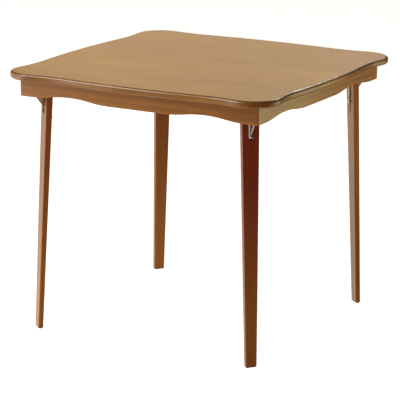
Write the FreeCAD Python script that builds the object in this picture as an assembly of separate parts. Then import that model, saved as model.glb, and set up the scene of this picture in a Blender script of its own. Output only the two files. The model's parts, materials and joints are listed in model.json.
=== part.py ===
"""Folding card table with a scalloped top, four flat tapered legs and sprung leg catches.

Millimetres, +Z up. The origin is on the floor under the middle of the top.
Each leg and its fittings are drawn once, in a corner frame: u points outwards
along the plane the leg folds in, t points across it, v points up, and the
hinge pin runs along t through the frame's origin.
"""
import FreeCAD, Part
import math
import os

from FreeCAD import Placement, Rotation, Vector

# ---------------------------------------------------------------- driving dimensions
# top
TABLE_HEIGHT = 728.0
TOP_WIDTH = 813.0
TOP_THICKNESS = 19.0
TOP_EDGE_RADIUS = 7.0
CORNER_RADIUS = 77.0
CORNER_INSET = 3.0           # the rounded corners stop this much short of the sides' middles
HOLLOW_DEPTH = 11.0          # how far each hollow of the outline lies inside the side's middle
HOLLOW_FROM_END = 168.5      # from the end of a side to the bottom of its hollow

# apron
OVERHANG = 43.5
APRON_HEIGHT = 50.0
APRON_THICKNESS = 19.0
APRON_EDGE_RADIUS = 3.0
SCALLOP_RISE = 10.0
SCALLOP_FROM_END = 157.0     # from the apron's end to the middle of a scallop
SCALLOP_LENGTH = 244.0

# cleats that join the apron to the top
CLEAT_LENGTH = 300.0
CLEAT_SIZE = 16.0
CLEAT_SCREW_PITCH = 120.0
CLEAT_SIDE_SCREW_PITCH = 60.0
CLEAT_CHAMFER = 2.0

# leg
LEG_TOP_WIDTH = 50.0
LEG_FOOT_WIDTH = 31.5
LEG_TOP_THICKNESS = 18.4
LEG_FOOT_THICKNESS = 14.2
LEG_EDGE_RADIUS = 2.5
LEG_SPLAY = 2.64             # degrees outwards from upright when open
LEG_TOP_ABOVE_PIN = 12.9     # radius of the leg's rounded top about its pin

# hinge
PIN_BELOW_TOP = 23.0         # from the underside of the top down to the pin's axis
PIN_FROM_APRON_CORNER = 48.5  # along the diagonal, from the apron's inner corner to the pin
FOLD_TURN = 5.5              # degrees between a leg's fold plane and the diagonal
HINGE_PIN_DIAMETER = 6.0
HINGE_PIN_HEAD_DIAMETER = 11.0
HINGE_PIN_HEAD_HEIGHT = 2.0
HINGE_PIN_HEAD_ROUND = 1.4
PLATE_THICKNESS = 3.0
PLATE_BOSS_RADIUS = 10.0
PLATE_REACH = 38.0           # from the pin out into the corner block
PLATE_RISE = 18.0            # above the pin, inside the block
PLATE_RIM_RADIUS = 74.5      # from the pin to the tip that the catch holds
PLATE_SLOPE = 54.5           # degrees of the lower edge below level
PLATE_TIP_WIDTH = 3.0        # of the plate beside the catch's nose
WASHER_DIAMETER = 14.0
SLOT_WIDTH = 12.0
SLOT_PAST_PLATE = 5.0        # the slot runs on this far past the plate's tip

# catch
CATCH_SLOT_WIDTH = 5.2
CATCH_SLOT_WALL = 4.2        # wood left between the catch's slot and the leg's outer face
CATCH_NOSE_WIDTH = 4.4
CATCH_TRAVEL = 4.0           # each way from the rest place
CATCH_NOSE_SPARE = 1.0       # nose length beyond the travel
CATCH_BODY_HEIGHT = 20.0
CATCH_BODY_SUNK = 2.4        # how far the catch's body lies below the leg's inner face
THUMB_WIDTH = 8.0
THUMB_THICKNESS = 2.6
THUMB_PROUD = 6.6            # beyond the leg's inner face
THUMB_DROP = 12.0
THUMB_BEND_OUT = 0.45        # where its bend is, as a share of its reach
THUMB_BEND_DOWN = 0.35       # and as a share of its drop
THUMB_ROOTED = 0.5           # how far its upper end goes into the catch's neck
CATCH_PIN_DIAMETER = 4.0
SPRING_ROOM = 18.5           # height of the slot left for the spring under the catch
SPRING_WIRE = 0.7
SPRING_TURNS = 7

# corner block
BLOCK_WIDTH = 68.0
BLOCK_RECESS = 2.0           # above the apron's lower edge
SCOOP_GAP = 0.6              # around the leg's rounded top
RIVET_DIAMETER = 4.0
RIVET_LENGTH = 22.0
RIVET_PLACES = ((22.0, 8.0), (28.0, -12.0))   # u, v of the two rivets through block and plate
BLOCK_SCREW_PLACE = (22.0, 15.0)              # u and t of the screws, one each side

# screws
SCREW_DIAMETER = 4.0
SCREW_HEAD_DIAMETER = 8.0
SCREW_HEAD_HEIGHT = 2.6
SCREW_BITE = 12.0            # length that enters the piece held
SCREW_TIP_DIAMETER = 1.0
SLOT_DRIVE_WIDTH = 1.0
SLOT_DRIVE_DEPTH = 1.0

# foot glide
GLIDE_THICKNESS = 3.0
GLIDE_INSET = 1.6
GLIDE_EDGE_RADIUS = 0.75
GLIDE_STUD_DIAMETER = 3.0
GLIDE_STUD_LENGTH = 12.0

# clearances
RUNNING = 0.05               # radial, between a pin and its bore
SIDE_PLAY = 0.3              # between pieces that move past each other
STOP_GAP = 0.35              # between an open leg and its corner block
KERF_PLAY = 0.1              # each side of the hinge plate in the block
SPRING_PLAY = 0.4            # each side of the spring in its slot

# ---------------------------------------------------------------- values worked out from them
TOP_HALF = TOP_WIDTH / 2
UNDERSIDE = TABLE_HEIGHT - TOP_THICKNESS
APRON_HALF = TOP_HALF - OVERHANG
APRON_INNER = APRON_HALF - APRON_THICKNESS
APRON_BOTTOM = UNDERSIDE - APRON_HEIGHT
PIN_HEIGHT = UNDERSIDE - PIN_BELOW_TOP
PIN_DIAGONAL = APRON_INNER * math.sqrt(2) - PIN_FROM_APRON_CORNER
CLEAT_SCREW_LENGTH = CLEAT_SIZE + SCREW_BITE
BLOCK_BOTTOM = APRON_BOTTOM + BLOCK_RECESS - PIN_HEIGHT        # below the pin
BLOCK_SCREW_LENGTH = APRON_HEIGHT - BLOCK_RECESS + SCREW_BITE
LEAN = math.radians(LEG_SPLAY)
LEG_LENGTH = PIN_HEIGHT / math.cos(LEAN)                       # from the pin to the floor
SLOT_END = -PLATE_RIM_RADIUS - SLOT_PAST_PLATE
NOSE_TOP = -PLATE_RIM_RADIUS - STOP_GAP
CATCH_TOP = NOSE_TOP - CATCH_TRAVEL - CATCH_NOSE_SPARE         # top of the catch's body
CATCH_BOTTOM = CATCH_TOP - CATCH_BODY_HEIGHT
CATCH_PIN_AT = CATCH_TOP - CATCH_BODY_HEIGHT / 2
CATCH_SLOT_END = CATCH_BOTTOM - SPRING_ROOM
SPRING_DIAMETER = CATCH_SLOT_WIDTH - 2 * SPRING_PLAY
FAR = 2000.0                 # past everything
HAIR = 0.01                  # two places this near are the same

CORNERS = {"front_left": 225.0, "front_right": 315.0, "back_right": 45.0, "back_left": 135.0}
SIDES = {"front": 270.0, "right": 0.0, "back": 90.0, "left": 180.0}
U, T, V = Vector(1, 0, 0), Vector(0, 1, 0), Vector(0, 0, 1)
ORIGIN = Vector(0, 0, 0)


# ---------------------------------------------------------------- helpers
def save(node, shape):
    shape.exportStep("parts/" + node + ".step")


def box(low, high):
    """Box from its low corner to its high corner."""
    size = [h - l for l, h in zip(low, high)]
    return Part.makeBox(size[0], size[1], size[2], Vector(*low))


def rod(diameter, start, direction, length):
    return Part.makeCylinder(diameter / 2, length, start, direction)


def arc(start, middle, end):
    return Part.Arc(start, middle, end).toShape()


def solid_of(shape):
    """The largest solid of a shape, with its split faces joined."""
    clean = shape.removeSplitter()
    return max(clean.Solids, key=lambda s: s.Volume)


def about_z(shape, degrees):
    turned = shape.copy()
    turned.rotate(ORIGIN, V, degrees)
    return turned


def splayed(shape):
    """From the straight leg's frame to the open leg's: the foot swings outwards about the pin."""
    leaned = shape.copy()
    leaned.rotate(ORIGIN, T, -LEG_SPLAY)
    return leaned


def at_corner(shape, corner):
    """From the corner frame to the table."""
    diagonal = math.radians(CORNERS[corner])
    place = Vector(PIN_DIAGONAL * math.cos(diagonal), PIN_DIAGONAL * math.sin(diagonal), PIN_HEIGHT)
    placed = shape.copy()
    placed.Placement = Placement(place, Rotation(V, CORNERS[corner] + FOLD_TURN)).multiply(placed.Placement)
    return placed


def screw(head_at, direction, length):
    """Countersunk wood screw with a slotted head; head_at is the middle of its flush head."""
    head = Part.makeCone(SCREW_HEAD_DIAMETER / 2, SCREW_DIAMETER / 2, SCREW_HEAD_HEIGHT, ORIGIN, V)
    shank_length = length - SCREW_DIAMETER / 2
    shank = Part.makeCylinder(SCREW_DIAMETER / 2, shank_length, ORIGIN, V)
    tip = Part.makeCone(SCREW_DIAMETER / 2, SCREW_TIP_DIAMETER / 2, SCREW_DIAMETER / 2, V * shank_length, V)
    half_head, half_slot = SCREW_HEAD_DIAMETER / 2, SLOT_DRIVE_WIDTH / 2
    drive = box((-half_head, -half_slot, 0), (half_head, half_slot, SLOT_DRIVE_DEPTH))
    body = solid_of(head.fuse(shank).fuse(tip).cut(drive))
    body.Placement = Placement(head_at, Rotation(V, direction))
    return body


def screw_hole(head_at, direction, length):
    """What a screw takes out of the pieces it goes through: the screw without its drive slot."""
    head = Part.makeCone(SCREW_HEAD_DIAMETER / 2, SCREW_DIAMETER / 2, SCREW_HEAD_HEIGHT, ORIGIN, V)
    shank = Part.makeCylinder(SCREW_DIAMETER / 2, length, ORIGIN, V)
    hole = head.fuse(shank).removeSplitter()
    hole.Placement = Placement(head_at, Rotation(V, direction))
    return hole


# ---------------------------------------------------------------- top
def top_outline(height):
    """Closed outline of three kinds of arc that run smoothly into each other.

    A side is a long bulge about its middle, a hollow to each side of that, and then the corner.
    """
    corner_centre = TOP_HALF - CORNER_INSET - CORNER_RADIUS
    hollow_x = TOP_HALF - HOLLOW_DEPTH
    hollow_y = TOP_HALF - HOLLOW_FROM_END
    a, b = hollow_x - corner_centre, hollow_y - corner_centre
    hollow_radius = (a * a + b * b - CORNER_RADIUS ** 2) / (2 * (CORNER_RADIUS - a))
    bulge_radius = (hollow_y ** 2 + HOLLOW_DEPTH ** 2) / (2 * HOLLOW_DEPTH) - hollow_radius

    bulge_centre = Vector(TOP_HALF - bulge_radius, 0, height)
    hollow_centre = Vector(hollow_x + hollow_radius, hollow_y, height)
    round_centre = Vector(corner_centre, corner_centre, height)
    bulge_end = bulge_centre + (hollow_centre - bulge_centre).normalize() * bulge_radius
    hollow_end = round_centre + (hollow_centre - round_centre).normalize() * CORNER_RADIUS
    corner_tip = round_centre + Vector(1, 1, 0).normalize() * CORNER_RADIUS

    def below(p):
        return Vector(p.x, -p.y, p.z)

    def across(p):
        return Vector(p.y, p.x, p.z)

    hollow = Vector(hollow_x, hollow_y, height)
    side = [
        arc(below(hollow_end), below(hollow), below(bulge_end)),
        arc(below(bulge_end), Vector(TOP_HALF, 0, height), bulge_end),
        arc(bulge_end, hollow, hollow_end),
        arc(hollow_end, corner_tip, across(hollow_end)),
    ]
    edges = [about_z(edge, quarter * 90.0) for quarter in range(4) for edge in side]
    return Part.Wire(Part.__sortEdges__(edges))


def make_top(holes):
    board = Part.Face(top_outline(UNDERSIDE)).extrude(V * TOP_THICKNESS)
    rims = [e for e in board.Edges if abs(e.BoundBox.ZLength) < HAIR]
    board = board.makeFillet(TOP_EDGE_RADIUS, rims)
    for hole in holes:
        board = board.cut(hole)
    return solid_of(board)


# ---------------------------------------------------------------- apron
def scallop_cutter():
    """Both scallops of one side, as a prism along Y to be taken off the apron's lower edge."""
    middle = APRON_HALF - SCALLOP_FROM_END
    run = SCALLOP_LENGTH / 4
    rise = SCALLOP_RISE / 2
    radius = (run ** 2 + rise ** 2) / (2 * rise)
    half_angle = math.asin(run / radius) / 2
    step_x, step_z = radius * math.sin(half_angle), radius * (1 - math.cos(half_angle))
    z = APRON_BOTTOM

    def at(x, up):
        return Vector(middle + x, -FAR, z + up)

    points = [(-2 * run, 0), (-2 * run + step_x, step_z), (-run, rise), (-step_x, SCALLOP_RISE - step_z),
              (0, SCALLOP_RISE), (step_x, SCALLOP_RISE - step_z), (run, rise), (2 * run - step_x, step_z),
              (2 * run, 0)]
    p = [at(x, up) for x, up in points]
    below = [at(2 * run, -SCALLOP_RISE), at(-2 * run, -SCALLOP_RISE)]
    edges = [arc(p[0], p[1], p[2]), arc(p[2], p[4], p[6]), arc(p[6], p[7], p[8]),
             Part.makeLine(p[8], below[0]), Part.makeLine(below[0], below[1]), Part.makeLine(below[1], p[0])]
    right = Part.Face(Part.Wire(edges)).extrude(T * 2 * FAR)
    return [right, about_z(right, 180.0)]


def make_frame():
    """The four aprons as one ring, before the mitres part them."""
    outer = box((-APRON_HALF, -APRON_HALF, APRON_BOTTOM), (APRON_HALF, APRON_HALF, UNDERSIDE))
    for cutter in scallop_cutter():
        outer = outer.cut(cutter).cut(about_z(cutter, 90.0))
    outer = outer.removeSplitter()
    uprights = [e for e in outer.Edges if e.BoundBox.ZLength > APRON_HEIGHT / 2]
    outer = outer.makeFillet(APRON_EDGE_RADIUS, uprights)

    def on_lower_rim(edge):
        middle = edge.CenterOfMass
        outside = max(abs(middle.x), abs(middle.y)) > APRON_HALF - APRON_EDGE_RADIUS
        return outside and edge.BoundBox.ZMax < APRON_BOTTOM + SCALLOP_RISE + HAIR

    outer = outer.makeFillet(APRON_EDGE_RADIUS, [e for e in outer.Edges if on_lower_rim(e)])
    return outer.cut(box((-APRON_INNER, -APRON_INNER, 0), (APRON_INNER, APRON_INNER, TABLE_HEIGHT)))


def apron_piece(frame, angle):
    """One apron: the part of the ring between its two mitres."""
    reach = 2 * APRON_HALF
    corners = [Vector(0, 0, 0), Vector(reach, -reach, 0), Vector(reach, reach, 0), Vector(0, 0, 0)]
    wedge = Part.Face(Part.makePolygon(corners)).extrude(V * TABLE_HEIGHT)
    return solid_of(frame.common(about_z(wedge, angle)))


# ---------------------------------------------------------------- cleats
def cleat_screws(angle):
    """Screws of one cleat as (place of the head, direction): three up into the top, two into the apron."""
    middle = APRON_INNER - CLEAT_SIZE / 2
    up = [(Vector(middle, y, UNDERSIDE - CLEAT_SIZE), V)
          for y in (-CLEAT_SCREW_PITCH, 0.0, CLEAT_SCREW_PITCH)]
    out = [(Vector(APRON_INNER - CLEAT_SIZE, y, UNDERSIDE - CLEAT_SIZE / 2), U)
           for y in (-CLEAT_SIDE_SCREW_PITCH, CLEAT_SIDE_SCREW_PITCH)]
    turn = Rotation(V, angle)
    return [(turn.multVec(place), turn.multVec(direction)) for place, direction in up + out]


def make_cleat(angle, holes):
    strip = box((APRON_INNER - CLEAT_SIZE, -CLEAT_LENGTH / 2, UNDERSIDE - CLEAT_SIZE),
                (APRON_INNER, CLEAT_LENGTH / 2, UNDERSIDE))
    low_inner = Vector(APRON_INNER - CLEAT_SIZE, 0, UNDERSIDE - CLEAT_SIZE)
    arris = [e for e in strip.Edges if e.CenterOfMass.distanceToPoint(low_inner) < HAIR]
    strip = about_z(strip.makeChamfer(CLEAT_CHAMFER, arris), angle)
    for hole in holes:
        strip = strip.cut(hole)
    return solid_of(strip)


# ---------------------------------------------------------------- corner block and hinge plate
def block_screws():
    """Heads of the two screws that go up through a block into the top, in the corner frame."""
    u, t = BLOCK_SCREW_PLACE
    return [Vector(u, side * t, BLOCK_BOTTOM) for side in (-1, 1)]


def rivet(place, length):
    u, v = place
    return rod(RIVET_DIAMETER, Vector(u, -length / 2, v), T, length)


def make_block():
    """Block in the apron's corner, in the corner frame, before the apron's sides trim it."""
    face = LEG_TOP_THICKNESS / 2 + STOP_GAP
    half = BLOCK_WIDTH / 2
    block = splayed(box((face, -half, -FAR), (FAR, half, FAR)))
    block = block.common(box((-FAR, -half, BLOCK_BOTTOM), (FAR, half, PIN_BELOW_TOP)))
    scoop = rod(2 * (LEG_TOP_ABOVE_PIN + SCOOP_GAP), Vector(0, -half, 0), T, BLOCK_WIDTH)
    kerf_half = PLATE_THICKNESS / 2 + KERF_PLAY
    kerf = box((-FAR, -kerf_half, -FAR), (PLATE_REACH + KERF_PLAY, kerf_half, PLATE_RISE + KERF_PLAY))
    block = block.cut(scoop).cut(kerf)
    for place in RIVET_PLACES:
        block = block.cut(rivet(place, RIVET_LENGTH))
    for head in block_screws():
        block = block.cut(screw_hole(head, V, BLOCK_SCREW_LENGTH))
    return block


def trimmed_to_apron(block):
    room = box((-APRON_INNER, -APRON_INNER, 0), (APRON_INNER, APRON_INNER, TABLE_HEIGHT))
    return solid_of(block.common(room))


def make_plate():
    """Steel plate that the leg turns on, in the corner frame.

    Its lower edge slopes down to a tip inside the leg's slot. The step beside the tip
    is where the catch's nose goes in.
    """
    half = PLATE_THICKNESS / 2
    slope = math.tan(math.radians(PLATE_SLOPE))
    step_u = PLATE_RIM_RADIUS * math.sin(LEAN)     # where the leg's middle line crosses the rim
    step_v = -PLATE_RIM_RADIUS * math.cos(LEAN) + CATCH_TRAVEL
    low_u = step_u + CATCH_NOSE_WIDTH / 2
    tip_u = low_u - CATCH_NOSE_WIDTH - 3 * SIDE_PLAY - PLATE_TIP_WIDTH
    heel_v = step_v + (PLATE_REACH - low_u) * slope
    outline = [(0, PLATE_BOSS_RADIUS), (PLATE_BOSS_RADIUS, PLATE_RISE), (PLATE_REACH, PLATE_RISE),
               (PLATE_REACH, heel_v), (low_u, step_v), (low_u, -FAR), (tip_u, -FAR),
               (-PLATE_BOSS_RADIUS, 0), (0, PLATE_BOSS_RADIUS)]
    wire = Part.makePolygon([Vector(u, -half, v) for u, v in outline])
    plate = Part.Face(wire).extrude(T * PLATE_THICKNESS)
    plate = plate.fuse(rod(2 * PLATE_BOSS_RADIUS, Vector(0, -half, 0), T, PLATE_THICKNESS))
    plate = plate.common(rod(2 * PLATE_RIM_RADIUS, Vector(0, -half, 0), T, PLATE_THICKNESS))
    shoulder = -CATCH_NOSE_WIDTH / 2 - SIDE_PLAY
    step_top = NOSE_TOP + STOP_GAP + CATCH_TRAVEL + SIDE_PLAY
    step = splayed(box((shoulder, -SLOT_WIDTH, -FAR), (FAR, SLOT_WIDTH, step_top)))
    plate = plate.cut(step)
    plate = plate.cut(rod(HINGE_PIN_DIAMETER + 2 * RUNNING, Vector(0, -half, 0), T, PLATE_THICKNESS))
    for place in RIVET_PLACES:
        plate = plate.cut(rivet(place, RIVET_LENGTH))
    return solid_of(plate)


# ---------------------------------------------------------------- leg
def leg_size(below_pin):
    """Width and thickness of the leg at a distance below its pin."""
    share = (below_pin + LEG_TOP_ABOVE_PIN) / (LEG_LENGTH + LEG_TOP_ABOVE_PIN)
    width = LEG_TOP_WIDTH + (LEG_FOOT_WIDTH - LEG_TOP_WIDTH) * share
    thickness = LEG_TOP_THICKNESS + (LEG_FOOT_THICKNESS - LEG_TOP_THICKNESS) * share
    return width, thickness


def leg_section(below_pin):
    width, thickness = leg_size(below_pin)
    u, t = thickness / 2, width / 2
    return [Vector(x, y, -below_pin) for x, y in ((-u, -t), (u, -t), (u, t), (-u, t))]


def tapered(upper, lower):
    """Solid between two four-cornered sections, all its faces flat."""
    rings = [upper, lower]
    for i in range(4):
        j = (i + 1) % 4
        rings.append([upper[i], upper[j], lower[j], lower[i]])
    return Part.Solid(Part.Shell([Part.Face(Part.makePolygon(ring + ring[:1])) for ring in rings]))


def catch_slot_back():
    """How far past the leg's middle the catch's slot goes, towards the outer face."""
    return leg_size(-CATCH_TOP)[1] / 2 - CATCH_SLOT_WALL


def glide_place():
    """Middle of the leg at the floor, in the corner frame."""
    return Vector(LEG_LENGTH * math.sin(LEAN), 0, -PIN_HEIGHT)


def glide_stud():
    base = glide_place() + V * GLIDE_THICKNESS
    return rod(GLIDE_STUD_DIAMETER, base, V, GLIDE_STUD_LENGTH)


def make_leg():
    """Tapered leg with its hinge slot and catch slot, leaned out as it stands open."""
    reach = LEG_LENGTH + LEG_FOOT_WIDTH
    leg = tapered(leg_section(-LEG_TOP_ABOVE_PIN), leg_section(reach))
    long_edges = [e for e in leg.Edges if e.BoundBox.ZLength > reach / 2]
    leg = leg.makeFillet(LEG_EDGE_RADIUS, long_edges)

    head = rod(2 * LEG_TOP_ABOVE_PIN, Vector(0, -LEG_TOP_WIDTH, 0), T, 2 * LEG_TOP_WIDTH)
    body = box((-FAR, -LEG_TOP_WIDTH, -FAR), (FAR, LEG_TOP_WIDTH, 0))
    leg = leg.common(head.fuse(body))

    wide = SLOT_WIDTH / 2
    end = SLOT_END + wide
    leg = leg.cut(box((-FAR, -wide, end), (FAR, wide, FAR)))
    leg = leg.cut(rod(SLOT_WIDTH, Vector(-LEG_TOP_WIDTH, 0, end), U, 2 * LEG_TOP_WIDTH))
    narrow = CATCH_SLOT_WIDTH / 2
    low = CATCH_SLOT_END + narrow
    back = catch_slot_back()
    leg = leg.cut(box((-LEG_TOP_THICKNESS, -narrow, low), (back, narrow, end)))
    leg = leg.cut(rod(CATCH_SLOT_WIDTH, Vector(-LEG_TOP_THICKNESS, 0, low), U, LEG_TOP_THICKNESS + back))

    leg = leg.cut(rod(HINGE_PIN_DIAMETER, Vector(0, -LEG_TOP_WIDTH, 0), T, 2 * LEG_TOP_WIDTH))
    leg = leg.cut(rod(CATCH_PIN_DIAMETER, Vector(0, -LEG_TOP_WIDTH, CATCH_PIN_AT), T, 2 * LEG_TOP_WIDTH))

    leg = splayed(leg)
    sole = -PIN_HEIGHT + GLIDE_THICKNESS
    leg = leg.cut(box((-FAR, -FAR, -2 * FAR), (FAR, FAR, sole)))
    return solid_of(leg.cut(glide_stud()))


def make_glide():
    width, thickness = leg_size(LEG_LENGTH)
    u, t = thickness / 2 - GLIDE_INSET, width / 2 - GLIDE_INSET
    low = glide_place()
    pad = box((low.x - u, -t, low.z), (low.x + u, t, low.z + GLIDE_THICKNESS))
    uprights = [e for e in pad.Edges if e.BoundBox.ZLength > GLIDE_THICKNESS / 2]
    pad = pad.makeFillet(LEG_EDGE_RADIUS, uprights)
    rim = [e for e in pad.Edges if e.BoundBox.ZMax < low.z + HAIR]
    pad = pad.makeFillet(GLIDE_EDGE_RADIUS, rim)
    return solid_of(pad.fuse(glide_stud()))


# ---------------------------------------------------------------- hinge pin and washers
def make_hinge_pin():
    """Pin through the leg and the plate, with a round head at each side of the leg."""
    half = leg_size(0)[0] / 2 + SIDE_PLAY
    pin = rod(HINGE_PIN_DIAMETER, Vector(0, -half, 0), T, 2 * half)
    for side in (-1, 1):
        head = rod(HINGE_PIN_HEAD_DIAMETER, Vector(0, side * half, 0), T * side, HINGE_PIN_HEAD_HEIGHT)
        end = half + HINGE_PIN_HEAD_HEIGHT
        outer = [e for e in head.Edges if abs(abs(e.CenterOfMass.y) - end) < HAIR]
        pin = pin.fuse(head.makeFillet(HINGE_PIN_HEAD_ROUND, outer))
    return splayed(solid_of(pin))


def make_washers():
    """The two washers that keep the plate in the middle of the leg's slot."""
    inner = PLATE_THICKNESS / 2 + SIDE_PLAY
    thickness = SLOT_WIDTH / 2 - inner
    washers = []
    for start in (-SLOT_WIDTH / 2, inner):
        washer = rod(WASHER_DIAMETER, Vector(0, start, 0), T, thickness)
        washers.append(washer.cut(rod(HINGE_PIN_DIAMETER, Vector(0, start, 0), T, thickness)))
    return Part.makeCompound([splayed(w) for w in washers])


# ---------------------------------------------------------------- catch
def thumb_pad(root):
    """Thumb piece: a strip that starts at root and curls down and away from the leg's inner face."""
    tip = -leg_size(-CATCH_TOP)[1] / 2 - THUMB_PROUD
    half = THUMB_WIDTH / 2
    half_strip = THUMB_THICKNESS / 2
    bend_u = root + THUMB_BEND_OUT * (tip - root)
    bend_v = CATCH_TOP - THUMB_BEND_DOWN * THUMB_DROP
    low = CATCH_TOP - THUMB_DROP

    def at(u, v):
        return Vector(u, -half, v)

    top, under = at(root - THUMB_ROOTED, CATCH_TOP), at(root, CATCH_TOP - THUMB_THICKNESS)
    outer_end, inner_end = at(tip, low), at(tip + THUMB_THICKNESS, low)
    outer = arc(top, at(bend_u - half_strip, bend_v + half_strip), outer_end)
    inner = arc(inner_end, at(bend_u + half_strip, bend_v - half_strip), under)
    lip, close = Part.makeLine(outer_end, inner_end), Part.makeLine(under, top)
    return Part.Face(Part.Wire([outer, lip, inner, close])).extrude(T * THUMB_WIDTH)


def make_catch():
    """Sliding bolt in the leg's slot, with a nose on top and a thumb piece outside the leg's inner face."""
    half = CATCH_SLOT_WIDTH / 2 - SIDE_PLAY
    nose = CATCH_NOSE_WIDTH / 2
    inner_face = -leg_size(-CATCH_TOP)[1] / 2
    front = inner_face + CATCH_BODY_SUNK
    root = inner_face - 2 * SIDE_PLAY
    body = box((front, -half, CATCH_BOTTOM), (catch_slot_back() - 2 * SIDE_PLAY, half, CATCH_TOP))
    body = body.fuse(box((-nose, -half, CATCH_TOP), (nose, half, NOSE_TOP)))
    neck_bottom = CATCH_TOP - 2 * THUMB_THICKNESS
    body = body.fuse(box((root - THUMB_THICKNESS, -half, neck_bottom), (front, half, CATCH_TOP)))
    body = body.fuse(thumb_pad(root))

    hole = CATCH_PIN_DIAMETER / 2 + SIDE_PLAY
    low, high = CATCH_PIN_AT - CATCH_TRAVEL, CATCH_PIN_AT + CATCH_TRAVEL
    body = body.cut(box((-hole, -half, low), (hole, half, high)))
    for end in (low, high):
        body = body.cut(rod(2 * hole, Vector(0, -half, end), T, 2 * half))
    return splayed(solid_of(body))


def make_catch_pin():
    """Headless pin across the leg that the catch slides on."""
    half = leg_size(-CATCH_PIN_AT)[0] / 2 - SIDE_PLAY
    return splayed(rod(CATCH_PIN_DIAMETER, Vector(0, -half, CATCH_PIN_AT), T, 2 * half))


def make_spring():
    """Compression spring between the catch and the bottom of its slot."""
    bottom = CATCH_SLOT_END + SPRING_PLAY + SPRING_WIRE / 2
    height = CATCH_BOTTOM - SPRING_WIRE / 2 - bottom
    radius = (SPRING_DIAMETER - SPRING_WIRE) / 2
    helix = Part.makeHelix(height / SPRING_TURNS, height, radius)
    profile = Part.Wire(Part.makeCircle(SPRING_WIRE / 2, Vector(radius, 0, 0), T))
    spring = Part.Wire(helix).makePipeShell([profile], True, True)
    spring.translate(V * bottom)
    return splayed(spring)


# ---------------------------------------------------------------- the whole table
def save_fixed_pieces():
    """Aprons, cleats and their screws. Returns the holes that the cleats' screws need in the top."""
    frame = make_frame()
    bodies, all_holes = [], []
    for side, angle in SIDES.items():
        places = cleat_screws(angle)
        holes = [screw_hole(place, way, CLEAT_SCREW_LENGTH) for place, way in places]
        bodies += [screw(place, way, CLEAT_SCREW_LENGTH) for place, way in places]
        all_holes += holes
        save("cleat_" + side, make_cleat(angle, holes))
        apron = apron_piece(frame, angle)
        for hole in holes:
            apron = apron.cut(hole)
        save("apron_" + side, solid_of(apron))
    save("cleat_screws", Part.makeCompound(bodies))
    return all_holes


def save_corners():
    """Blocks, hinge plates and legs with all that is on them. Returns the blocks' screw holes in the top."""
    block, plate = make_block(), make_plate()
    moving = {
        "leg": make_leg(),
        "hinge_pin": make_hinge_pin(),
        "hinge_washers": make_washers(),
        "catch": make_catch(),
        "catch_pin": make_catch_pin(),
        "catch_spring": make_spring(),
        "foot_glide": make_glide(),
    }
    screws, rivets, holes = [], [], []
    for corner in CORNERS:
        save("corner_block_" + corner, trimmed_to_apron(at_corner(block, corner)))
        save("hinge_plate_" + corner, at_corner(plate, corner))
        for name, shape in moving.items():
            save(name + "_" + corner, at_corner(shape, corner))
        rivets += [at_corner(rivet(place, RIVET_LENGTH), corner) for place in RIVET_PLACES]
        for head in block_screws():
            screws.append(at_corner(screw(head, V, BLOCK_SCREW_LENGTH), corner))
            holes.append(at_corner(screw_hole(head, V, BLOCK_SCREW_LENGTH), corner))
    save("block_screws", Part.makeCompound(screws))
    save("plate_rivets", Part.makeCompound(rivets))
    return holes


def main():
    os.makedirs("parts", exist_ok=True)
    save("tabletop", make_top(save_fixed_pieces() + save_corners()))


main()
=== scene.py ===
"""Looks of the folding card table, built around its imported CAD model. Metres, +Z up."""
import json
import math
import bmesh
import bpy
from mathutils import Matrix, Vector


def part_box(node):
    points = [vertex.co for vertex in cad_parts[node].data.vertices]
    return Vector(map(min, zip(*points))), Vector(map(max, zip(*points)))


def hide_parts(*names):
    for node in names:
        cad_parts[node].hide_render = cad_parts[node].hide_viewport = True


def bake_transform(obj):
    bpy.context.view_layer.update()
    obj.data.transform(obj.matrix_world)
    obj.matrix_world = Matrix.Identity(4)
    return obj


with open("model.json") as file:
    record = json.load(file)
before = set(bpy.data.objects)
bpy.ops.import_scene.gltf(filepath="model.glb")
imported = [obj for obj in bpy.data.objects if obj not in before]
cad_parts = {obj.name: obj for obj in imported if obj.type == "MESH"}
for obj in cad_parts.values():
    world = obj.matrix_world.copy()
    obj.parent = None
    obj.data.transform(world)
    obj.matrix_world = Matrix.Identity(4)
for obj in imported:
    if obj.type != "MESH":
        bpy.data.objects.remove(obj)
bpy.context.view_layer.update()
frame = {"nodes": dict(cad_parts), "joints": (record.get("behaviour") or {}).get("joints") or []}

X, Y, Z = Vector((1, 0, 0)), Vector((0, 1, 0)), Vector((0, 0, 1))
CORNERS = ("front_left", "front_right", "back_right", "back_left")
SIDES = ("front", "right", "back", "left")

# camera, in the table's frame
CAMERA_PLACE = Vector((2.681, -4.813, 1.776))
CAMERA_YAW = -29.18
CAMERA_PITCH = 14.65         # downwards
CAMERA_ROLL = 0.51
CAMERA_LENS = 182.4
CAMERA_SENSOR = 36.0

# floor
FLOOR_SIZE = 60.0
FLOOR_GREY = 0.90
FLOOR_SPECK = 0.02           # how much lighter its lightest specks are
FLOOR_SPECK_SCALE = 3.0
FLOOR_ROUGHNESS = 0.9
FLOOR_GLOW = 0.85

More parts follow.
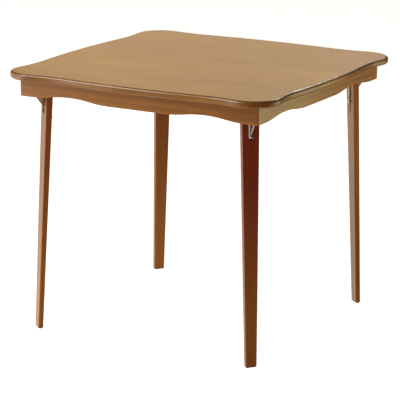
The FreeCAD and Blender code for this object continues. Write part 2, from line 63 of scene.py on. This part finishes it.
# light
SKY_SHARPNESS = 6.0          # of each patch of the room's light
SKY_PATCHES = {              # direction as azimuth from +X and elevation, colour
    "floor_left": (180.0, -25.0, (1.60, 1.68, 1.50)),
    "floor_front_left": (225.0, -25.0, (0.43, 0.49, 0.41)),
    "floor_front_right": (315.0, -25.0, (0.62, 0.28, 0.18)),
    "ceiling_front": (292.0, 50.0, (0.56, 0.56, 0.42)),
    "floor_below": (0.0, -90.0, (1.20, 1.10, 0.90)),
}
LAMPS = {                    # place, width and height of the box, power, colour
    "key_box": ((-1.95, -1.95, 2.40), (1.8, 1.8), 63.0, (0.96, 0.97, 0.97)),
    "left_low_box": ((-2.2, -1.9, 0.35), (1.2, 1.2), 16.0, (0.97, 0.98, 1.0)),
    "back_left_box": ((-1.6, 2.9, 1.6), (1.8, 1.8), 14.0, (1.0, 0.70, 0.40)),
    "right_low_box": ((1.72, 1.22, 0.12), (1.55, 1.55), 18.5, (1.0, 1.0, 0.55)),
    "back_window": ((0.10, 3.00, 2.70), (1.8, 0.24), 37.0, (1.0, 1.0, 0.90)),
    "front_window": ((-1.90, -2.15, 3.05), (1.6, 0.8), 60.0, (0.90, 0.95, 1.0)),
}
LAMP_AIM = Vector((0, 0, 0.6))
GLINTS = ("back_window", "front_window")   # these show only as reflections

# spring
SPRING_DIAMETER = 0.0044
SPRING_WIRE = 0.0007
SPRING_TURNS = 7
SPRING_STEPS = 24            # rings of the mesh for each turn
SPRING_SIDES = 8

# stains, linear; where there are two colours, they are the light and the dark of one stain
TOP_LIGHT = (0.470, 0.192, 0.030, 1)
TOP_DARK = (0.235, 0.080, 0.008, 1)
TOP_GOLD = (0.500, 0.215, 0.012, 1)        # of the patches on the board's face
APRON_LIGHT = (0.500, 0.190, 0.012, 1)
APRON_DARK = (0.215, 0.066, 0.004, 1)
LEG_RED = ((0.290, 0.042, 0.011, 1), (0.185, 0.022, 0.006, 1))
LEG_BROWN = ((0.350, 0.120, 0.024, 1), (0.205, 0.060, 0.012, 1))
LEG_GOLD = ((0.530, 0.225, 0.046, 1), (0.330, 0.120, 0.022, 1))
LEG_TAN = ((0.440, 0.180, 0.034, 1), (0.270, 0.095, 0.016, 1))
LEG_TONES = {               # at the leg's top and at its foot; front_right's darker, redder top is partly painted shade under the board
    "front_left": (LEG_BROWN, LEG_GOLD),
    "front_right": (LEG_RED, LEG_TAN),
    "back_right": (LEG_TAN, LEG_BROWN),
    "back_left": (LEG_BROWN, LEG_GOLD),
}
RAW_LIGHT = (0.560, 0.390, 0.220, 1)
RAW_DARK = (0.400, 0.250, 0.120, 1)

# wood figure, in features per metre along the grain and twice across it
CLOUD_SCALE = (1.6, 7.0, 7.0)
STREAK_SCALE = (3.0, 85.0, 85.0)
FIBRE_SCALE = (22.0, 900.0, 900.0)
PORE_SCALE = (130.0, 2600.0, 2600.0)
RING_SCALE = (0.9, 16.0, 5.0)
RIPPLE_SCALE = (14.0, 40.0, 40.0)
PATCH_SCALE = (2.2, 5.0, 5.0)
PATCH_SHIFT = (4.1, 2.3, 0.0)
SEED_SHIFT = (1.7, 0.9, 0.37)              # of the figure, for each unit of a piece's seed
CLOUD_SHARE = 0.40                         # of each kind of figure in the tone
STREAK_SHARE = 0.34
RING_SHARE = 0.16
FIBRE_SHARE = 0.16
TONE_RANGE = (0.15, 0.95)                  # of the tone, from the dark stain to the light one
TONE_CHANGE_HEIGHTS = (0.20, 0.58)                # heights between which a leg's colour changes
TONE_CHANGE_WANDER = 0.16                        # of those heights, with the cloud
RIM_PAINTED_SHADE = 0.68                           # of the board's solid edge and underside, beside its face: painted shade, partly a darker stain on the solid edge
RIM_BEND = (0.990, 0.950)                  # of facing_up, from the face to the edge
PATCH_RANGE = (0.48, 0.70)
PATCH_STRENGTH = 0.5
PORE_RANGE = (0.33, 0.26)                  # from closed to open
PORE_STRENGTH = 0.45
PORE_SHADE = 0.45
PORE_DEPTH = -0.6                          # of pores, fibres and ripples in the bump
FIBRE_HEIGHT = 0.25
RIPPLE_HEIGHT = 0.5
GRAIN_DEPTH = 0.00018
GRAIN_STRENGTH = 0.5
WEAR_AND_HIGHLIGHT_WIDTH = 0.0016                        # of the arrises, lighter with wear and with a painted highlight
WEAR_AND_HIGHLIGHT_RANGE = (0.40, 0.62)
WEAR_AND_HIGHLIGHT_STRENGTH = 0.22
WEAR_AND_HIGHLIGHT_SHADE = 1.35
SHEEN_RANGE = (0.3, 1.4)                   # of streak and wear, from shiny to dull
SHINIER, DULLER = -0.05, 0.12
LACQUER_ROUGHNESS = 0.12
LACQUER_IOR = 1.45

# plated steel
ZINC = ((0.78, 0.79, 0.74, 1), (0.56, 0.57, 0.53, 1))        # bright and dull
SPRING_STEEL = ((0.40, 0.40, 0.41, 1), (0.22, 0.22, 0.23, 1))
YELLOW_ZINC = ((0.68, 0.58, 0.36, 1), (0.46, 0.38, 0.22, 1))
CATCH_ZINC = ((0.86, 0.85, 0.81, 1), (0.66, 0.65, 0.61, 1))
PLATING_CLOUD_SCALE = (60.0, 60.0, 60.0)
PLATING_FLECK_SCALE = (700.0, 700.0, 700.0)
BRUSHED_SCALE = (2500.0, 2500.0, 160.0)
BRUSHED_DEPTH = 0.00003
BRUSHED_STRENGTH = 0.5
PLATING_CLOUD_SHARE = 0.6
PLATING_FLECK_SHARE = 0.4
POLISH_AND_HIGHLIGHT_WIDTH = 0.0005                    # of the lighter edges: polish from handling, with a painted highlight
POLISH_AND_HIGHLIGHT_STRENGTH = 0.35
POLISH_AND_HIGHLIGHT_SHADE = 1.25
PLATING_RANGE = (0.4, 1.2)                 # of scratches and cloud, from smooth to rough
SMOOTHER, ROUGHER = -0.08, 0.16
# painted shade on the part of the catch that lies inside the leg's slot
PAINTED_SLOT_SHADE = (0.030, 0.020, 0.014, 1)
PAINTED_SLOT_SHADE_STRENGTH = 0.85
PAINTED_SLOT_SHADE_FADE = 0.0015
CATCH_BRIGHT_END = 0.001     # from the catch's middle towards its thumb piece; the painted shade of the slot begins here

# nylon of the glides
NYLON_DARK = (0.020, 0.012, 0.008, 1)
NYLON_LIGHT = (0.035, 0.021, 0.013, 1)
SCUFF = (0.16, 0.13, 0.11, 1)
SCUFF_HEIGHT = 0.0014
SCUFF_RANGE = (0.42, 0.6)
SCUFF_STRENGTH = 0.6
NYLON_CLOUD_SCALE = (90.0, 90.0, 90.0)
NYLON_GRAIN_SCALE = (1500.0, 1500.0, 1500.0)
NYLON_RANGE = (0.3, 1.4)                   # of cloud and scuff, from smooth to rough
NYLON_ROUGHNESS = (0.42, 0.7)
NYLON_DEPTH = 0.00005
NYLON_STRENGTH = 0.6

MIDDLE = (0.3, 0.7)                        # where most of a noise's values lie
WIDE_MIDDLE = (0.25, 0.75)


# ---------------------------------------------------------------- node short-hand
class Nodes:
    """A node tree, with short ways to add to it."""

    def __init__(self, tree):
        self.tree = tree

    def node(self, kind, inputs=None, **settings):
        made = self.tree.nodes.new(kind)
        for key, value in settings.items():
            setattr(made, key, value)
        for key, value in (inputs or {}).items():
            self.feed(made.inputs[key], value)
        return made

    def feed(self, socket, value):
        if isinstance(value, bpy.types.NodeSocket):
            self.tree.links.new(value, socket)
        else:
            socket.default_value = value

    def dot(self, a, b):
        return self.node("ShaderNodeVectorMath", {0: a, 1: b},
                         operation="DOT_PRODUCT").outputs["Value"]


class Look(Nodes):
    """A material, with one method for each kind of node that the materials use."""

    def __init__(self, name):
        self.material = bpy.data.materials.new(name)
        self.material.use_nodes = True
        super().__init__(self.material.node_tree)
        self.shader = self.tree.nodes["Principled BSDF"]

    def surface(self, **inputs):
        for key, value in inputs.items():
            self.feed(self.shader.inputs[key.replace("_", " ")], value)

    def place(self):
        return self.node("ShaderNodeTexCoord").outputs["Object"]

    def along(self, place, direction):
        """Distance of a place along a direction."""
        return self.dot(place, tuple(direction))

    def turned(self, axes):
        """Places measured along three axes of the piece's own, the grain first."""
        place = self.place()
        parts = [self.along(place, axis) for axis in axes]
        return self.node("ShaderNodeCombineXYZ", dict(enumerate(parts))).outputs[0]

    def stretched(self, place, scale, shift=(0, 0, 0)):
        return self.node("ShaderNodeMapping", {"Vector": place, "Scale": scale,
                                               "Location": shift}).outputs[0]

    def noise(self, place, detail, roughness=0.5, distortion=0.0):
        return self.node("ShaderNodeTexNoise",
                         {"Vector": place, "Scale": 1.0, "Detail": detail,
                          "Roughness": roughness, "Distortion": distortion}).outputs["Fac"]

    def waves(self, place):
        """Growth rings."""
        return self.node("ShaderNodeTexWave",
                         {"Vector": place, "Scale": 1.0, "Distortion": 5.0, "Detail": 3.0,
                          "Detail Scale": 1.4, "Detail Roughness": 0.6},
                         bands_direction="Y").outputs["Fac"]

    def sum(self, a, b):
        return self.node("ShaderNodeMath", {0: a, 1: b}, operation="ADD").outputs[0]

    def times(self, a, b):
        return self.node("ShaderNodeMath", {0: a, 1: b}, operation="MULTIPLY").outputs[0]

    def spread(self, value, ends, to_low=0.0, to_high=1.0):
        """Maps a value between two ends to to_low..to_high, and stops there."""
        return self.node("ShaderNodeMapRange",
                         {"Value": value, "From Min": ends[0], "From Max": ends[1],
                          "To Min": to_low, "To Max": to_high}, clamp=True).outputs[0]

    def mix(self, share, a, b, blend="MIX"):
        made = self.node("ShaderNodeMix", data_type="RGBA", blend_type=blend)
        self.feed(made.inputs[0], share)
        self.feed(made.inputs[6], a)
        self.feed(made.inputs[7], b)
        return made.outputs[2]

    def scaled(self, colour, share):
        """A colour times a number."""
        return self.mix(1.0, colour, (share, share, share, 1), blend="MULTIPLY")

    def bump(self, height, distance, strength):
        return self.node("ShaderNodeBump", {"Height": height, "Distance": distance,
                                            "Strength": strength}).outputs[0]

    def facing_up(self):
        """How far a face of a piece that never turns looks up: 1 level, 0 upright."""
        return self.along(self.node("ShaderNodeTexCoord").outputs["Normal"], Z)

    def edges(self, radius):
        """1 along sharp edges and 0 on open faces."""
        rounded = self.node("ShaderNodeBevel", {"Radius": radius}, samples=4).outputs[0]
        true = self.node("ShaderNodeNewGeometry").outputs["True Normal"]
        return self.spread(self.dot(rounded, true), (1.0, 0.86))


# ---------------------------------------------------------------- materials
def wood(name, axes, light, dark, figure=1.0, seed=0.0, lacquer=0.20, sheen=0.38, level=0.40,
         foot=None, painted_rim_shade=None):
    """Stained and lacquered wood whose grain runs along axes[0].

    foot is the light and dark colour at the floor, if it isn't that of the leg's top.
    The share for the board's edge darkens its solid edge and underside beside the face: painted
    shade on all that turns from the face, partly a darker stain on the solid edge. The face has
    golden patches.
    """
    look = Look(name)
    place = look.turned(axes)
    shift = tuple(seed * step for step in SEED_SHIFT)
    cloud = look.noise(look.stretched(place, CLOUD_SCALE, shift), 3.0, distortion=0.6)
    streak = look.noise(look.stretched(place, STREAK_SCALE, shift), 5.0, 0.6, 0.25)
    fibre = look.noise(look.stretched(place, FIBRE_SCALE, shift), 3.0, 0.6)
    pore = look.noise(look.stretched(place, PORE_SCALE, shift), 1.0)
    rings = look.waves(look.stretched(place, RING_SCALE, shift))
    tone = look.sum(look.times(look.spread(cloud, WIDE_MIDDLE), CLOUD_SHARE * figure),
                    look.times(look.spread(streak, MIDDLE), STREAK_SHARE))
    tone = look.sum(tone, look.times(rings, RING_SHARE * figure))
    tone = look.sum(tone, look.times(look.spread(fibre, MIDDLE), FIBRE_SHARE))
    # colour changes with height from the leg's top to its foot; on front_right partly painted
    # shade under the board
    if foot:
        height = look.sum(look.along(look.place(), Z), look.times(cloud, TONE_CHANGE_WANDER))
        share = look.spread(height, TONE_CHANGE_HEIGHTS)
        dark, light = look.mix(share, foot[1], dark), look.mix(share, foot[0], light)
    colour = look.mix(look.spread(tone, TONE_RANGE), dark, light)
    # painted shade: the board's edge and underside are darkened beside the face, partly a darker
    # stain on the solid edge
    if painted_rim_shade:
        edge = look.spread(look.facing_up(), RIM_BEND)
        colour = look.mix(edge, colour, look.scaled(colour, painted_rim_shade))
        patch = look.noise(look.stretched(place, PATCH_SCALE, PATCH_SHIFT), 4.0, distortion=0.8)
        patch = look.spread(patch, PATCH_RANGE, 0.0, PATCH_STRENGTH)
        colour = look.mix(patch, colour, TOP_GOLD)
    open_pore = look.spread(pore, PORE_RANGE)
    colour = look.mix(look.times(open_pore, PORE_STRENGTH), colour, look.scaled(dark, PORE_SHADE))
    # lighter arrises: wear, with a painted highlight along the edges
    wear_and_highlight = look.times(look.edges(WEAR_AND_HIGHLIGHT_WIDTH), look.spread(streak, WEAR_AND_HIGHLIGHT_RANGE))
    colour = look.mix(look.times(wear_and_highlight, WEAR_AND_HIGHLIGHT_STRENGTH), colour, look.scaled(light, WEAR_AND_HIGHLIGHT_SHADE))
    ripple = look.noise(look.stretched(place, RIPPLE_SCALE, shift), 2.0)
    relief = look.sum(look.times(fibre, FIBRE_HEIGHT), look.times(open_pore, PORE_DEPTH))
    relief = look.sum(relief, look.times(ripple, RIPPLE_HEIGHT))
    rough = look.spread(look.sum(streak, wear_and_highlight), SHEEN_RANGE, sheen + SHINIER, sheen + DULLER)
    look.surface(Base_Color=colour, Roughness=rough, Specular_IOR_Level=level,
                 Coat_Weight=lacquer, Coat_Roughness=LACQUER_ROUGHNESS, Coat_IOR=LACQUER_IOR,
                 Normal=look.bump(relief, GRAIN_DEPTH, GRAIN_STRENGTH))
    return look.material


def raw_wood(name, axes, seed):
    """Unfinished hardwood of the pieces that nobody sees from above."""
    return wood(name, axes, RAW_LIGHT, RAW_DARK, figure=0.8, seed=seed, lacquer=0.0, sheen=0.72,
                level=0.3)


def plated(name, metal, roughness, slot_shaded=None):
    """Plated steel with fine scratches, cloudy plating and lighter edges: polish from handling,
    with a painted highlight.

    The last argument, if given, is a direction and a distance along it, past which the piece is
    darkened: painted shade where the catch lies in the leg's slot.
    """
    bright, dull = metal
    look = Look(name)
    place = look.place()
    cloud = look.noise(look.stretched(place, PLATING_CLOUD_SCALE), 4.0)
    brushed = look.noise(look.stretched(place, BRUSHED_SCALE), 2.0)
    fleck = look.noise(look.stretched(place, PLATING_FLECK_SCALE), 2.0)
    tone = look.sum(look.times(look.spread(cloud, MIDDLE), PLATING_CLOUD_SHARE),
                    look.times(look.spread(fleck, MIDDLE), PLATING_FLECK_SHARE))
    colour = look.mix(tone, dull, bright)
    # lighter edges: polish from handling, with a painted highlight
    polish_and_highlight = tuple(min(1, POLISH_AND_HIGHLIGHT_SHADE * part) for part in bright[:3]) + (1,)
    edge = look.times(look.edges(POLISH_AND_HIGHLIGHT_WIDTH), POLISH_AND_HIGHLIGHT_STRENGTH)
    colour = look.mix(edge, colour, polish_and_highlight)
    # painted shade past a distance along a direction: the catch's part inside the leg's slot
    if slot_shaded:
        direction, start = slot_shaded
        share = look.spread(look.along(place, direction),
                            (start - PAINTED_SLOT_SHADE_FADE, start + PAINTED_SLOT_SHADE_FADE))
        colour = look.mix(look.times(share, PAINTED_SLOT_SHADE_STRENGTH), colour, PAINTED_SLOT_SHADE)
    rough = look.spread(look.sum(brushed, look.times(cloud, PLATING_CLOUD_SHARE)), PLATING_RANGE,
                        roughness + SMOOTHER, roughness + ROUGHER)
    look.surface(Base_Color=colour, Metallic=1.0, Roughness=rough,
                 Normal=look.bump(brushed, BRUSHED_DEPTH, BRUSHED_STRENGTH))
    return look.material


def moulded(name):
    """Dark nylon of the foot glides, scuffed pale where it meets the floor."""
    look = Look(name)
    place = look.place()
    grain = look.noise(look.stretched(place, NYLON_GRAIN_SCALE), 2.0)
    cloud = look.noise(look.stretched(place, NYLON_CLOUD_SCALE), 3.0)
    scuff = look.times(look.spread(look.along(place, Z), (SCUFF_HEIGHT, 0.0)),
                       look.spread(cloud, SCUFF_RANGE))
    colour = look.mix(look.spread(cloud, MIDDLE), NYLON_DARK, NYLON_LIGHT)
    colour = look.mix(look.times(scuff, SCUFF_STRENGTH), colour, SCUFF)
    look.surface(Base_Color=colour,
                 Roughness=look.spread(look.sum(cloud, scuff), NYLON_RANGE, *NYLON_ROUGHNESS),
                 Normal=look.bump(grain, NYLON_DEPTH, NYLON_STRENGTH))
    return look.material


def put(node, material):
    slots = frame["nodes"][node].data.materials
    slots.clear()
    slots.append(material)


# ---------------------------------------------------------------- springs
def make_spring(corner, down, outward, across, material):
    """Coil between the bottom of the catch's slot and the catch."""
    low, high = (Vector(end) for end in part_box("catch_spring_" + corner))
    middle = (low + high) / 2
    lean = abs(down.z)
    length = ((high - low).z - SPRING_DIAMETER * math.sqrt(1 - lean * lean)) / lean - SPRING_WIRE
    radius = (SPRING_DIAMETER - SPRING_WIRE) / 2
    steps = SPRING_TURNS * SPRING_STEPS
    verts, faces = [], []
    for i in range(steps + 1):
        turn = 2 * math.pi * i / SPRING_STEPS
        spoke = math.cos(turn) * outward + math.sin(turn) * across
        centre = middle + down * length * (i / steps - 0.5) + spoke * radius
        for j in range(SPRING_SIDES):
            a = 2 * math.pi * j / SPRING_SIDES
            verts.append(centre + (math.cos(a) * spoke + math.sin(a) * down) * SPRING_WIRE / 2)
    for i in range(steps):
        for j in range(SPRING_SIDES):
            k = (j + 1) % SPRING_SIDES
            a, b = i * SPRING_SIDES, (i + 1) * SPRING_SIDES
            faces.append((a + j, a + k, b + k, b + j))
    faces.append(tuple(range(SPRING_SIDES))[::-1])
    faces.append(tuple(range(len(verts) - SPRING_SIDES, len(verts))))
    mesh = bpy.data.meshes.new("coil_" + corner)
    mesh.from_pydata(verts, [], faces)
    shell = bmesh.new()
    shell.from_mesh(mesh)
    bmesh.ops.recalc_face_normals(shell, faces=shell.faces)
    shell.to_mesh(mesh)
    shell.free()
    mesh.shade_smooth()
    mesh.materials.append(material)
    coil = bpy.data.objects.new("coil_" + corner, mesh)
    bpy.context.scene.collection.objects.link(coil)
    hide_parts("catch_spring_" + corner)
    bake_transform(coil)


# ---------------------------------------------------------------- which piece gets which
joints = {joint["name"]: joint for joint in frame["joints"]}

put("tabletop", wood("top_veneer", (X, Y, Z), TOP_LIGHT, TOP_DARK, seed=1.0, painted_rim_shade=RIM_PAINTED_SHADE))
for i, side in enumerate(SIDES):
    axes = (X, Z, Y) if side in ("front", "back") else (Y, Z, X)
    put("apron_" + side, wood("apron_wood_" + side, axes, APRON_LIGHT, APRON_DARK, seed=3.0 + i))
    put("cleat_" + side, raw_wood("cleat_wood_" + side, axes, 11.0 + i))

steel = plated("zinc_plate", ZINC, 0.24)
wire = plated("spring_wire", SPRING_STEEL, 0.30)
yellow = plated("yellow_zinc", YELLOW_ZINC, 0.34)
nylon = moulded("brown_nylon")

for i, corner in enumerate(CORNERS):
    across = Vector(joints["fold_leg_" + corner]["axis"])
    down = Vector(joints["slide_catch_" + corner]["axis"])
    outward = down.cross(across)
    (light, dark), foot = LEG_TONES[corner]
    stained = wood("leg_wood_" + corner, (down, across, outward), light, dark, seed=20.0 + i,
                   foot=foot)
    put("leg_" + corner, stained)
    put("catch_pin_" + corner, stained)       # driven in first, so its ends are stained over
    make_spring(corner, down, outward, across, wire)
    put("corner_block_" + corner,
        raw_wood("block_wood_" + corner, (across, outward, Z), 30.0 + i))
    put("hinge_plate_" + corner, steel)
    put("hinge_pin_" + corner, steel)
    put("hinge_washers_" + corner, steel)
    # the catch's outer part lies in the leg's slot and gets painted shade
    middle = sum((Vector(end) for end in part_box("catch_" + corner)), Vector()) / 2
    slot_shade_start = middle.dot(outward) - CATCH_BRIGHT_END
    put("catch_" + corner,
        plated("bright_zinc_" + corner, CATCH_ZINC, 0.26, slot_shaded=(outward, slot_shade_start)))
    put("foot_glide_" + corner, nylon)
put("cleat_screws", yellow)
put("block_screws", yellow)
put("plate_rivets", steel)


# ---------------------------------------------------------------- floor, light and camera
def make_floor():
    """Pale floor. From below it is clear, so that the table's underside can be looked at."""
    half = FLOOR_SIZE / 2
    corners = [(-half, -half, 0), (half, -half, 0), (half, half, 0), (-half, half, 0)]
    mesh = bpy.data.meshes.new("floor")
    mesh.from_pydata(corners, [], [(0, 1, 2, 3)])
    floor = bpy.data.objects.new("floor", mesh)
    bpy.context.scene.collection.objects.link(floor)
    look = Look("floor_paper")
    speck = look.noise(look.stretched(look.place(), (FLOOR_SPECK_SCALE,) * 3), 2.0)
    shade = look.mix(speck, (FLOOR_GREY,) * 3 + (1,), (FLOOR_GREY + FLOOR_SPECK,) * 3 + (1,))
    look.surface(Base_Color=shade, Roughness=FLOOR_ROUGHNESS, Specular_IOR_Level=0.0,
                 Emission_Color=(1, 1, 1, 1), Emission_Strength=FLOOR_GLOW)
    clear = look.node("ShaderNodeBsdfTransparent").outputs[0]
    from_below = look.node("ShaderNodeNewGeometry").outputs["Backfacing"]
    both = look.node("ShaderNodeMixShader",
                     {0: from_below, 1: look.shader.outputs[0], 2: clear}).outputs[0]
    look.feed(look.tree.nodes["Material Output"].inputs["Surface"], both)
    mesh.materials.append(look.material)
    floor.visible_glossy = floor.visible_diffuse = floor.visible_shadow = False


def make_sky():
    """Soft room light, as a few wide patches round the table. The camera sees white instead."""
    world = bpy.data.worlds.new("room")
    bpy.context.scene.world = world
    world.use_nodes = True
    world.node_tree.nodes.clear()
    sky = Nodes(world.node_tree)
    way = sky.node("ShaderNodeTexCoord").outputs["Generated"]
    total = (0.0, 0.0, 0.0)
    for azimuth, elevation, colour in SKY_PATCHES.values():
        a, e = math.radians(azimuth), math.radians(elevation)
        middle = (math.cos(a) * math.cos(e), math.sin(a) * math.cos(e), math.sin(e))
        level = sky.node("ShaderNodeMath",
                         {0: sky.dot(way, middle), 1: SKY_SHARPNESS, 2: -SKY_SHARPNESS},
                         operation="MULTIPLY_ADD").outputs[0]
        level = sky.node("ShaderNodeMath", {0: level}, operation="EXPONENT").outputs[0]
        patch = sky.node("ShaderNodeVectorMath", {0: colour, "Scale": level},
                         operation="SCALE").outputs[0]
        total = sky.node("ShaderNodeVectorMath", {0: patch, 1: total}, operation="ADD").outputs[0]
    room = sky.node("ShaderNodeBackground", {"Color": total, "Strength": 1.0}).outputs[0]
    white = sky.node("ShaderNodeBackground", {"Color": (1, 1, 1, 1), "Strength": 1.0}).outputs[0]
    direct = sky.node("ShaderNodeLightPath").outputs["Is Camera Ray"]
    both = sky.node("ShaderNodeMixShader", {0: direct, 1: room, 2: white}).outputs[0]
    sky.node("ShaderNodeOutputWorld", {"Surface": both})


def make_lamp(name, place, sides, power, colour):
    """Soft box that faces the table."""
    data = bpy.data.lights.new(name, "AREA")
    data.shape = "RECTANGLE"
    data.size, data.size_y = sides
    data.energy = power
    data.color = colour
    lamp = bpy.data.objects.new(name, data)
    lamp.visible_diffuse = name not in GLINTS
    lamp.location = place
    lamp.rotation_euler = (LAMP_AIM - Vector(place)).to_track_quat("-Z", "Y").to_euler()
    bpy.context.scene.collection.objects.link(lamp)


def make_camera():
    yaw, pitch, roll = (math.radians(a) for a in (CAMERA_YAW, CAMERA_PITCH, CAMERA_ROLL))
    forward = Vector((math.sin(yaw) * math.cos(pitch), math.cos(yaw) * math.cos(pitch),
                      -math.sin(pitch)))
    right = Vector((math.cos(yaw), -math.sin(yaw), 0))
    up = right.cross(forward)
    right, up = (math.cos(roll) * right + math.sin(roll) * up,
                 -math.sin(roll) * right + math.cos(roll) * up)
    turn = Matrix((right, up, -forward)).transposed().to_4x4()
    data = bpy.data.cameras.new("camera")
    data.lens = CAMERA_LENS
    data.sensor_width = CAMERA_SENSOR
    camera = bpy.data.objects.new("camera", data)
    camera.matrix_world = Matrix.Translation(CAMERA_PLACE) @ turn
    bpy.context.scene.collection.objects.link(camera)
    bpy.context.scene.camera = camera


make_floor()
make_sky()
for name, settings in LAMPS.items():
    make_lamp(name, *settings)
make_camera()
bpy.context.scene.view_settings.view_transform = "Standard"
